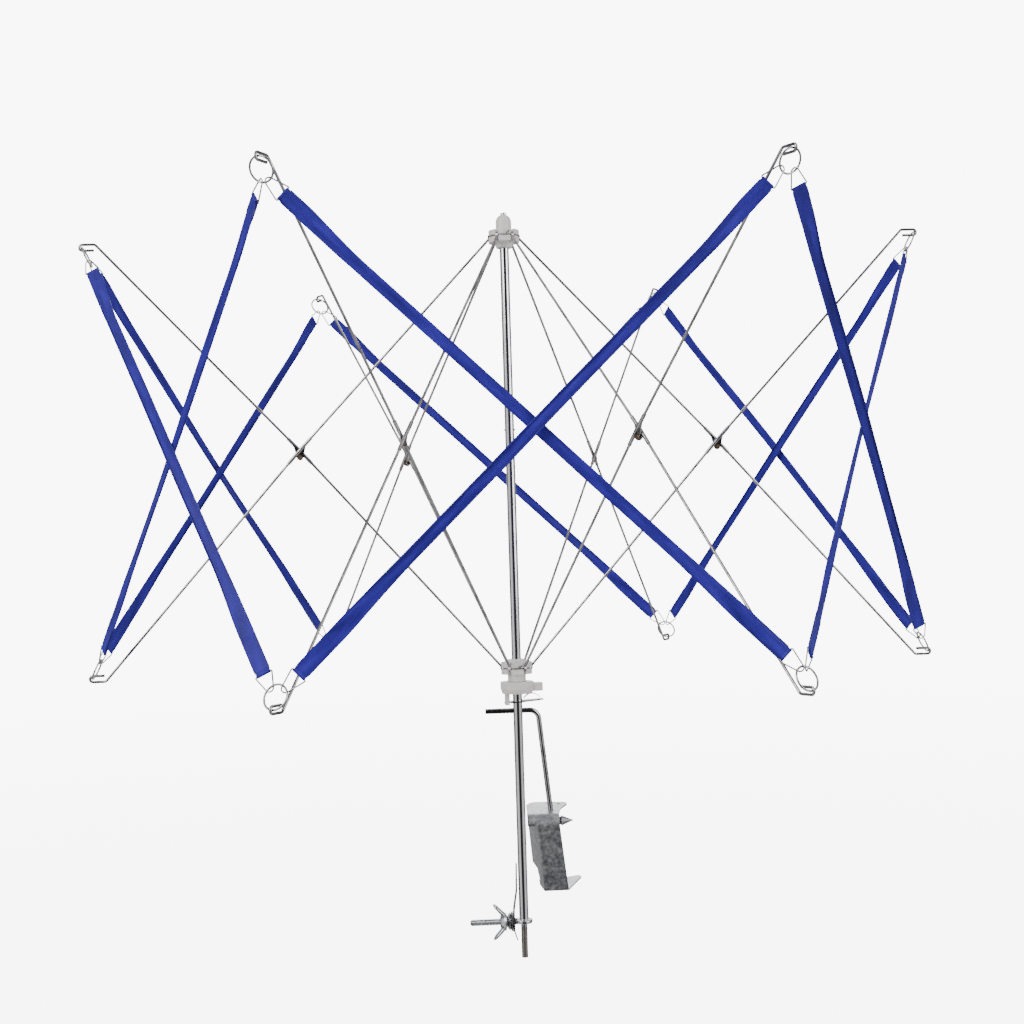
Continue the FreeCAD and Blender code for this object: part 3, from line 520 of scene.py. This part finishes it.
def ribbon_section(roll, bow, width):
    """The ribbon's middle line in a cross section: a flat back whose two edges roll up on one side.

    roll is the angle that each edge turns through."""
    lip = LIP_RADIUS * roll
    half_back = width / 2 - lip
    line = []
    inner = ACROSS - 2 * LIP_POINTS
    for i in range(LIP_POINTS):
        turn = roll * (1 - i / LIP_POINTS)
        line.append((-half_back - LIP_RADIUS * math.sin(turn), LIP_RADIUS * (1 - math.cos(turn))))
    for i in range(inner + 1):
        across = -half_back + 2 * half_back * i / inner
        line.append((across, bow * (1 - (across / max(half_back, 1e-6)) ** 2)))
    for i in range(1, LIP_POINTS + 1):
        turn = roll * i / LIP_POINTS
        line.append((half_back + LIP_RADIUS * math.sin(turn), LIP_RADIUS * (1 - math.cos(turn))))
    return line


def thickened(line, thick):
    """A closed loop round a cross section's middle line."""
    front, back = [], []
    for i, (z, y) in enumerate(line):
        before, after = line[max(i - 1, 0)], line[min(i + 1, len(line) - 1)]
        run, rise = after[0] - before[0], after[1] - before[1]
        size = math.hypot(run, rise) or 1.0
        normal = -rise / size, run / size
        front.append((z + normal[0] * thick / 2, y + normal[1] * thick / 2))
        back.append((z - normal[0] * thick / 2, y - normal[1] * thick / 2))
    return front + back[::-1]


def ribbon_stations(start, end):
    """Distances along the strap at which the ribbon has a cross section, closer at its ends."""
    near = (0.6, 0.9, 1.2)
    places = [start - HEM_RADIUS * math.cos(math.pi * i / 2 / HEM_STEPS) for i in range(HEM_STEPS + 1)]
    places += [start + HEM_RADIUS * share for share in near]
    inner_start = start + HEM_CLEARANCE
    inner_end = end - HEM_CLEARANCE
    place = inner_start
    while place < inner_end:
        places.append(place)
        near_end = min(place - inner_start, inner_end - place)
        place += FINE_STEP if near_end < FINE_LENGTH else COARSE_STEP
    places += [end - HEM_RADIUS * share for share in reversed(near)]
    places += [end + HEM_RADIUS * math.cos(math.pi * i / 2 / HEM_STEPS) for i in range(HEM_STEPS, -1, -1)]
    return places


def ribbon_loop(x, start, end, upper, lower, seed):
    """The ribbon's cross section at x, as a closed loop of (z, y) points.

    upper and lower are the distances from x to where the doubled ends stop."""
    rolled = min(max(upper, 0.0) / UPPER_TAPER, max(lower, 0.0) / LOWER_TAPER, 1.0)
    roll = LIP_TURN * rolled ** ROLL_POWER + LEAST_ROLL
    wave = sum(height * math.sin(x / reach + share * seed) for height, reach, share in WAVES)
    bow = (CROWN + wave) * rolled - SAG
    doubled = 1 - smoothstep(0, TAB_STEP, min(upper, lower))
    thick = SINGLE_LAYER + (DOUBLE_LAYER - SINGLE_LAYER) * doubled
    between = start < x < end
    near_hem = min(abs(x - start), abs(x - end))
    if near_hem < HEM_RADIUS:
        thick = max(thick if between else 0, 2 * math.sqrt(HEM_RADIUS ** 2 - near_hem ** 2))
    narrowed = 1 - smoothstep(*HEM_EASE, near_hem) if between else 1.0
    line = ribbon_section(roll, bow, RIBBON_WIDTH - HEM_NARROWING * narrowed)
    return thickened(line, max(thick, LEAST_LAYER))


def ribbon(name, place, length, seed, outer, body):
    """A strap's ribbon. An outer ribbon rolls and bows away from the shaft, an inner one towards it."""
    start = BAIL_LENGTH
    end = length - BAIL_LENGTH + BAIL_PLAY
    flip = 1.0 if seed % 2 else -1.0
    lip_side = 1.0 if outer else -1.0
    rings, uvs = [], []
    for x in ribbon_stations(start, end):
        upper = x - start - UPPER_TAB
        lower = end - LOWER_TAB - x
        middle = smoothstep(BOW_START, length / 2 - BOW_STOP, min(x, length - x))
        stand_off = (OUTER_BOW if outer else INNER_BOW) * middle
        ease = EASE * math.sin(3 * math.pi * x / length + seed)
        ease *= smoothstep(0, EASE_LENGTH, upper) * smoothstep(0, EASE_LENGTH, lower)
        upper_lean = smoothstep(0, UPPER_TAPER, upper) * smoothstep(0, length / 2, length / 2 - x)
        lower_lean = smoothstep(0, LOWER_TAPER, lower) * smoothstep(0, length / 2, x - length / 2)
        drift = SHIFT * flip * (upper_lean - lower_lean)
        shift = place @ Matrix.Translation((x, 0, drift)) @ Matrix.Rotation(ease, 4, "X")
        proud = place.to_3x3() @ Vector((0, stand_off, 0))
        loop = ribbon_loop(x, start, end, upper, lower, seed)
        rings.append([shift @ Vector((0, lip_side * y, z)) + proud for z, y in loop])
        shares = [i / ACROSS for i in range(ACROSS + 1)]
        uvs += [(share, x / RIBBON_WIDTH) for share in shares + shares[::-1]]
    around = len(rings[0])
    points = [point for ring in rings for point in ring]
    faces = grid_faces(len(rings), around)
    for ring, order in ((0, 1), (len(rings) - 1, -1)):
        first = ring * around
        for j in range(ACROSS):
            face = (first + j, first + around - 1 - j, first + around - 2 - j, first + j + 1)
            faces.append(face[::order])
    return new_piece(name, points, faces, "ribbon", body, uvs)


STITCH_LENGTH, STITCH_WIDTH = 0.95 * MM, 0.32 * MM
STITCH_RISE, STITCH_SINK = 0.14 * MM, 0.05 * MM
STITCH_STEP = 1.25 * MM
STITCHES_EACH_SIDE = 3
HEM_SEAM, TAB_SEAM = 2.1 * MM, 1.2 * MM  # rows' distances from the hem and from the doubled end's edge


def stitch(place, x, z):
    """One stitch across the ribbon, on its outer and on its inner face: a low rounded bar."""
    shares = (-1, -0.6, 0.6, 1)
    shapes = []
    for face in (1, -1):
        points = []
        for share_x in shares:
            for share_z in shares:
                rim = max(abs(share_x), abs(share_z)) == 1
                rise = -STITCH_SINK if rim else STITCH_RISE
                point = Vector((x + share_x * STITCH_WIDTH / 2, face * (DOUBLE_LAYER / 2 + rise),
                                z + share_z * STITCH_LENGTH / 2))
                points.append(place @ point)
        faces = []
        for i in range(3):
            for j in range(3):
                square = (4 * i + j, 4 * i + j + 1, 4 * i + j + 5, 4 * i + j + 4)
                faces.append(square if face > 0 else square[::-1])
        shapes.append((points, faces))
    return joined(*shapes)


def stitches(name, place, length, body):
    """A row across the ribbon by each hem, and another where the doubled end stops."""
    start = BAIL_LENGTH
    end = length - BAIL_LENGTH + BAIL_PLAY
    rows = start + HEM_SEAM, start + UPPER_TAB - TAB_SEAM, end - HEM_SEAM, end - LOWER_TAB + TAB_SEAM
    counts = range(-STITCHES_EACH_SIDE, STITCHES_EACH_SIDE + 1)
    shapes = [stitch(place, row, i * STITCH_STEP) for row in rows for i in counts]
    points, faces = joined(*shapes)
    return new_piece(name, points, faces, "stitch", body)


def bail(name, place, top_x, base_x, body):
    """A closed triangle of wire, its rounded top round a ring and its base in a hem."""
    direction = 1.0 if base_x > top_x else -1.0
    depth = abs(base_x - top_x)
    lean = math.acos(BAIL_TOP / math.hypot(BAIL_HALF, depth)) - math.atan2(depth, BAIL_HALF)
    apex = Vector((top_x - direction * BAIL_TOP / math.sin(lean), 0, 0))
    corners = [apex, Vector((base_x, 0, BAIL_HALF)), Vector((base_x, 0, -BAIL_HALF))]
    route = rounded_loop(corners, [BAIL_TOP, BAIL_CORNER, BAIL_CORNER], steps=10)
    points, faces = tube([place @ point for point in route], BAIL_WIRE, sides=12, closed=True)
    return new_piece(name, points, faces, "chrome_wire", body)


def straps():
    """Twelve straps: each has its ribbon, which replaces the CAD strap, its stitches and two bails."""
    for arm in range(ARMS):
        for side in (1, -1):
            name, place, length = strap_place(arm, side)
            place = place @ Matrix.Rotation(TWISTS.get(name, 0.0), 4, "X")
            label = name.removeprefix("strap_")
            seed = 2 * arm + (side > 0)
            cloth = ribbon("ribbon_" + label, place, length, seed, arm % 2 == 1, name)
            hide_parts(name)
            end = length - BAIL_LENGTH + BAIL_PLAY
            sewing = stitches("stitches_" + label, place, length, name)
            upper = bail("upper_bail_" + label, place, BAIL_SEAT, BAIL_LENGTH, name)
            lower = bail("lower_bail_" + label, place, length + BAIL_PLAY, end, name)


# ---- clamp bolt with a rolled thread, and the wing nut ----

THREAD_PITCH = 0.8 * MM
THREAD_DEPTH = 0.42 * MM
THREAD_SIDES, THREAD_STEPS = 28, 10  # points round the bolt, and rings to each pitch
THREAD_SHARPNESS = 1.4
THREAD_RUN_OUT = -7.0 * MM, -8.5 * MM
ROD_START = -5.0 * MM
TIP_CHAMFER, TIP_LENGTH = 0.7 * MM, 1.2 * MM
EYE_HALF_HEIGHT, EYE_CORNER, EYE_CLEARANCE = 1.5 * MM, 1.1 * MM, 0.02 * MM


def rounded_profile(inner, outer, low, high, corner):
    """A loop of (radius, height) points: a rectangle with round corners."""
    steps = 4
    centres = [(outer - corner, high - corner, 0), (inner + corner, high - corner, 1),
               (inner + corner, low + corner, 2), (outer - corner, low + corner, 3)]
    loop = []
    for radius, height, quarter in centres:
        for step in range(steps + 1):
            turn = math.pi / 2 * (quarter + step / steps)
            loop.append((radius + corner * math.cos(turn), height + corner * math.sin(turn)))
    return loop[::-1]


def clamp_bolt():
    """The clamp bolt: an eye round the shaft, and a rod with a rolled thread and a chamfered tip."""
    low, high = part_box("clamp_bolt")
    centre_z = (low.z + high.z) / 2
    radius = (high.z - low.z) / 2
    shaft_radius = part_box("shaft")[1].x
    profile = rounded_profile(shaft_radius + EYE_CLEARANCE, high.x, -EYE_HALF_HEIGHT, EYE_HALF_HEIGHT,
                              EYE_CORNER)
    eye = lathe(profile, Matrix.Translation((0, 0, centre_z)))
    count = int((ROD_START - low.x) / THREAD_PITCH * THREAD_STEPS)
    points = []
    for i in range(count + 1):
        x = ROD_START + (low.x - ROD_START) * i / count
        lead_in = smoothstep(0, TIP_LENGTH, x - low.x)
        run_out = smoothstep(*THREAD_RUN_OUT, x)
        for j, (across, up) in enumerate(circle(THREAD_SIDES)):
            phase = (x / THREAD_PITCH + j / THREAD_SIDES) % 1.0
            groove = THREAD_DEPTH * (0.5 + 0.5 * math.cos(2 * math.pi * phase)) ** THREAD_SHARPNESS * run_out
            size = radius - groove - TIP_CHAMFER * (1 - lead_in)
            points.append(Vector((x, size * across, centre_z + size * up)))
    faces = [(a, d, c, b) for a, b, c, d in grid_faces(count + 1, THREAD_SIDES)]
    faces += [face[::-1] for face in end_faces(count + 1, THREAD_SIDES)]
    points, faces = joined(eye, (points, faces))
    bolt = new_piece("threaded_clamp_bolt", points, faces, "zinc_steel", "stand")
    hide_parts("clamp_bolt")


NUT_LENGTH, NUT_BORE, NUT_CHAMFER = 4.8 * MM, 2.3 * MM, 0.25 * MM
NUT_OUTSIDE = [(6.2 * MM, 0), (6.75 * MM, 0.35 * MM), (6.6 * MM, 1.2 * MM), (5.6 * MM, 2.7 * MM),
               (4.6 * MM, 4.1 * MM), (4.1 * MM, NUT_LENGTH)]  # radius and height above its foot
WING_ROOT_BACK, WING_ROOT_RISE = 1.6 * MM, 4.4 * MM
WING_TIP_INSET, WING_TIP_DROP = 0.9 * MM, 1.1 * MM
WING_HALF_WIDTHS = 3.6 * MM, 3.9 * MM  # at the root and at the tip
WING_THICKS = 3.4 * MM, 2.2 * MM
WING_BULGE, WING_ROUND_FROM, WING_SQUARENESS = 0.12, 0.72, 0.75
WING_ROWS, WING_AROUND = 10, 16


def squared(value):
    """Widens a circle's cosine or sine towards a rounded rectangle's."""
    return math.copysign(abs(value) ** WING_SQUARENESS, value)


def wing(root, tip, place):
    """A cast wing: a rounded slab from the nut's body out to its round tip."""
    normal = (tip - root).normalized().cross(Y_AXIS)
    points = []
    for i in range(WING_ROWS + 1):
        share = i / WING_ROWS
        bulge = math.sin(math.pi * min(share * 1.05, 1.0)) * WING_BULGE + 1.0
        past = max(share - WING_ROUND_FROM, 0) / (1 - WING_ROUND_FROM)
        closing = math.sqrt(max(1 - past ** 2, 0.02))
        half = (WING_HALF_WIDTHS[0] + (WING_HALF_WIDTHS[1] - WING_HALF_WIDTHS[0]) * share) * closing * bulge
        thick = (WING_THICKS[0] + (WING_THICKS[1] - WING_THICKS[0]) * share) * math.sqrt(closing) / 2
        centre = root.lerp(tip, share)
        for x, y in circle(WING_AROUND):
            points.append(place @ (centre + Y_AXIS * squared(x) * half + normal * squared(y) * thick))
    rows = WING_ROWS + 1
    return points, grid_faces(rows, WING_AROUND) + end_faces(rows, WING_AROUND)


def wing_nut():
    low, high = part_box("wing_nut")
    centre = Vector((high.x, 0, (low.z + high.z) / 2))
    rise = (high.z - low.z) / 2
    profile = [(NUT_BORE, NUT_CHAMFER), (NUT_BORE + NUT_CHAMFER, 0), *NUT_OUTSIDE,
               (2.6 * MM, NUT_LENGTH), (NUT_BORE, NUT_LENGTH - 0.3 * MM)]
    body = lathe(profile, turned(Z_AXIS, Y_AXIS, -X_AXIS, centre))
    wings = []
    for up in (1, -1):
        root = Vector((-WING_ROOT_BACK, 0, up * WING_ROOT_RISE))
        tip = Vector((low.x - high.x + WING_TIP_INSET, 0, up * (rise - WING_TIP_DROP)))
        wings.append(wing(root, tip, Matrix.Translation(centre)))
    points, faces = joined(body, *wings)
    nut = new_piece("cast_wing_nut", points, faces, "zinc_steel", "wing_nut")
    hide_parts("wing_nut")


# ---- lock spring, and the twisted ends of the tie wires ----

LEAF_THICK, LEAF_STEPS = 0.45 * MM, 24
LEAF_SIDE_GAP = 0.1 * MM
LEAF_EDGE = ((-1, -0.3), (-0.93, -0.5), (0.93, -0.5), (1, -0.3),
             (1, 0.3), (0.93, 0.5), (-0.93, 0.5), (-1, 0.3))  # half widths across, thicknesses up


def lock_spring():
    """A bowed leaf with a rounded edge, flattened between the collar and the lock plate."""
    low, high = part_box("lock_spring")
    length, height = high.x - low.x, high.z - low.z
    half_width = (high.y - low.y) / 2 - LEAF_SIDE_GAP
    bow = height - LEAF_THICK
    points = []
    for i in range(LEAF_STEPS + 1):
        share = 2 * i / LEAF_STEPS - 1
        x = low.x + length * i / LEAF_STEPS
        z = low.z + bow * (1 - share * share) + LEAF_THICK / 2
        slope = Vector((length / 2, 0, -2 * bow * share)).normalized()
        normal = Vector((-slope.z, 0, slope.x))
        half = half_width * (0.8 + 0.2 * smoothstep(0, 0.12, 1 - abs(share)))
        for across, lift in LEAF_EDGE:
            point = Vector((x, across * half, z)) + normal * (lift * LEAF_THICK)
            point.z = min(max(point.z, low.z), high.z)
            points.append(point)
    rows = LEAF_STEPS + 1
    faces = grid_faces(rows, len(LEAF_EDGE)) + end_faces(rows, len(LEAF_EDGE))
    leaf = new_piece("bowed_lock_spring", points, faces, "spring_steel", "collar")
    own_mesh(leaf)
    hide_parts("lock_spring")


TWIST_WIRE, TWIST_LAY, TWIST_TURNS, TWIST_LENGTH = 0.4 * MM, 0.42 * MM, 3.0, 4.6 * MM
TWIST_OFFSET = 1.9 * MM  # from the ribs' pivot circle out to the twist's root
TWIST_PLACE = -1.5 * ARM_ANGLE  # between two ribs, on the camera's side
TWIST_STEPS = 24


def twisted_end(name, height, body):
    """The tie wire's two ends, twisted together between two ribs and bent up beside the hub."""
    outward = Vector((math.cos(TWIST_PLACE), math.sin(TWIST_PLACE), 0))
    sideways = Z_AXIS.cross(outward)
    root = outward * (JOINTS["fold"]["pos_m"][0] + TWIST_OFFSET) + Z_AXIS * height
    aim = (outward * 0.35 + Z_AXIS * 0.55 + sideways * 0.75).normalized()
    across = aim.cross(outward).normalized()
    up = across.cross(aim)
    strands = []
    for strand in (0, math.pi):
        route = []
        for i in range(TWIST_STEPS + 1):
            share = i / TWIST_STEPS
            angle = strand + 2 * math.pi * TWIST_TURNS * share
            around = across * math.cos(angle) + up * math.sin(angle)
            route.append(root + aim * (TWIST_LENGTH * share) + around * TWIST_LAY)
        strands.append(tube(route, TWIST_WIRE, sides=8))
    points, faces = joined(*strands)
    new_piece(name, points, faces, "chrome_wire", body)


# ---- surroundings ----

SEEN_WHITE = 9.0  # brightness of the backdrop to the eye only
FLOOR_RADIUS, FLOOR_RINGS, FLOOR_SIDES = 4.0, 6, 64
FLOOR_FADE_FROM = 0.5
FLOOR_PALENESS = 0.82  # share of plain white that the eye sees; the rest shows the shadows


def floor_material():
    """Pale to the eye, clear to mirrors, a plain grey to other light, and clear further out."""
    material = bpy.data.materials.new("pale_floor")
    material.use_nodes = True
    nodes = Nodes(material.node_tree)
    shade = nodes.add("ShaderNodeBsdfDiffuse")
    grain = nodes.noise(14.0, 3.0, 0.5)
    tone = nodes.ramp(grain, "Fac", [(0.3, (0.50, 0.50, 0.51)), (0.7, (0.54, 0.54, 0.54))])
    nodes.link(tone, "Color", shade, "Color")
    pale = nodes.add("ShaderNodeEmission", strength=SEEN_WHITE)
    path = nodes.add("ShaderNodeLightPath")
    direct = nodes.add("ShaderNodeMath", operation="MULTIPLY")
    direct.inputs[1].default_value = FLOOR_PALENESS
    nodes.link(path, "Is Camera Ray", direct, 0)
    top = nodes.mix_shaders(direct, "Value", shade, pale)
    clear = nodes.add("ShaderNodeBsdfTransparent")
    place = nodes.add("ShaderNodeTexCoord")
    reach = nodes.add("ShaderNodeVectorMath", operation="LENGTH")
    nodes.link(place, "Object", reach, 0)
    fade = nodes.add("ShaderNodeMapRange", from_min=FLOOR_FADE_FROM, from_max=FLOOR_RADIUS * 0.6)
    nodes.link(reach, "Value", fade, "Value")
    unseen = nodes.add("ShaderNodeMath", operation="MAXIMUM")  # metal mirrors the room, not the floor
    nodes.link(fade, "Result", unseen, 0)
    nodes.link(path, "Is Glossy Ray", unseen, 1)
    nodes.finish(nodes.mix_shaders(unseen, "Value", top, clear))
    return material


def floor():
    """A wide pale floor that fades out, so that no horizon shows."""
    points = [Vector((0, 0, 0))]
    for ring in range(1, FLOOR_RINGS + 1):
        points += [Vector((x, y, 0)) * FLOOR_RADIUS * ring / FLOOR_RINGS for x, y in circle(FLOOR_SIDES)]
    faces = [(0, 1 + j, 1 + (j + 1) % FLOOR_SIDES) for j in range(FLOOR_SIDES)]
    for a, b, c, d in grid_faces(FLOOR_RINGS, FLOOR_SIDES):
        faces.append((a + 1, d + 1, c + 1, b + 1))
    mesh = bpy.data.meshes.new("floor")
    mesh.from_pydata([tuple(point) for point in points], [], faces)
    mesh.materials.append(floor_material())
    ground = bpy.data.objects.new("floor", mesh)
    bpy.context.scene.collection.objects.link(ground)


def studio_world():
    """White to the eye. What metal mirrors is a bright room with a dark gap on the camera's side."""
    world = bpy.data.worlds.new("studio")
    bpy.context.scene.world = world
    world.use_nodes = True
    nodes = Nodes(world.node_tree)
    place = nodes.add("ShaderNodeTexCoord")
    split = nodes.add("ShaderNodeSeparateXYZ")
    nodes.link(place, "Generated", split, "Vector")
    azimuth = nodes.add("ShaderNodeMath", operation="ARCTAN2")
    nodes.link(split, "X", azimuth, 0)
    nodes.link(split, "Y", azimuth, 1)
    around = nodes.add("ShaderNodeMapRange", from_min=-math.pi, from_max=math.pi)
    nodes.link(azimuth, "Value", around, "Value")
    room = nodes.ramp(around, "Result", [
        (0.00, (0.02, 0.02, 0.022)), (0.06, (0.03, 0.03, 0.032)), (0.11, (1.0, 1.0, 1.02)),
        (0.20, (1.1, 1.1, 1.1)), (0.27, (0.16, 0.16, 0.17)), (0.38, (0.30, 0.30, 0.31)),
        (0.46, (0.9, 0.9, 0.9)), (0.54, (0.9, 0.9, 0.9)), (0.62, (0.20, 0.19, 0.19)),
        (0.74, (0.28, 0.27, 0.28)), (0.80, (1.0, 1.0, 1.0)), (0.88, (0.9, 0.9, 0.93)),
        (0.93, (0.05, 0.05, 0.052)), (1.00, (0.02, 0.02, 0.022))])
    height = nodes.ramp(split, "Z", [(0.0, (0.85,)), (0.25, (0.9,)), (0.6, (1.3,)), (0.8, (0.6,)),
                                     (1.0, (1.2,))])
    lit = nodes.mix_colours(room, height, "MULTIPLY", 1.0)
    mirrored = nodes.add("ShaderNodeBackground", strength=1.0)
    nodes.link(lit, MIX_RESULT, mirrored, "Color")
    seen = nodes.add("ShaderNodeBackground", strength=SEEN_WHITE)
    seen.inputs["Color"].default_value = (1, 1, 1, 1)
    path = nodes.add("ShaderNodeLightPath")
    nodes.finish(nodes.mix_shaders(path, "Is Camera Ray", mirrored, seen), "ShaderNodeOutputWorld")


def soft_light(name, place, aim, width, height, power):
    data = bpy.data.lights.new(name, "AREA")
    data.shape = "RECTANGLE"
    data.size, data.size_y, data.energy = width, height, power
    light = bpy.data.objects.new(name, data)
    back = (Vector(place) - Vector(aim)).normalized()
    right = Z_AXIS.cross(back).normalized()
    light.matrix_world = turned(right, back.cross(right), back, Vector(place))
    bpy.context.scene.collection.objects.link(light)


def lights():
    middle = (0, 0, 0.35)
    soft_light("key", (-1.5, -1.5, 1.5), middle, 1.2, 1.4, 32)
    soft_light("fill", (1.7, -1.3, 0.9), middle, 1.2, 1.4, 20)
    soft_light("back", (0.3, 1.9, 1.4), middle, 1.8, 1.0, 24)


make_camera()
dress_cad_nodes()
straps()
clamp_bolt()
wing_nut()
lock_spring()
twisted_end("top_wire_twist", JOINTS["fold"]["pos_m"][2], "reel_hub")
twisted_end("runner_wire_twist", JOINTS["runner_pivot"]["pos_m"][2], "runner")
floor()
studio_world()
lights()
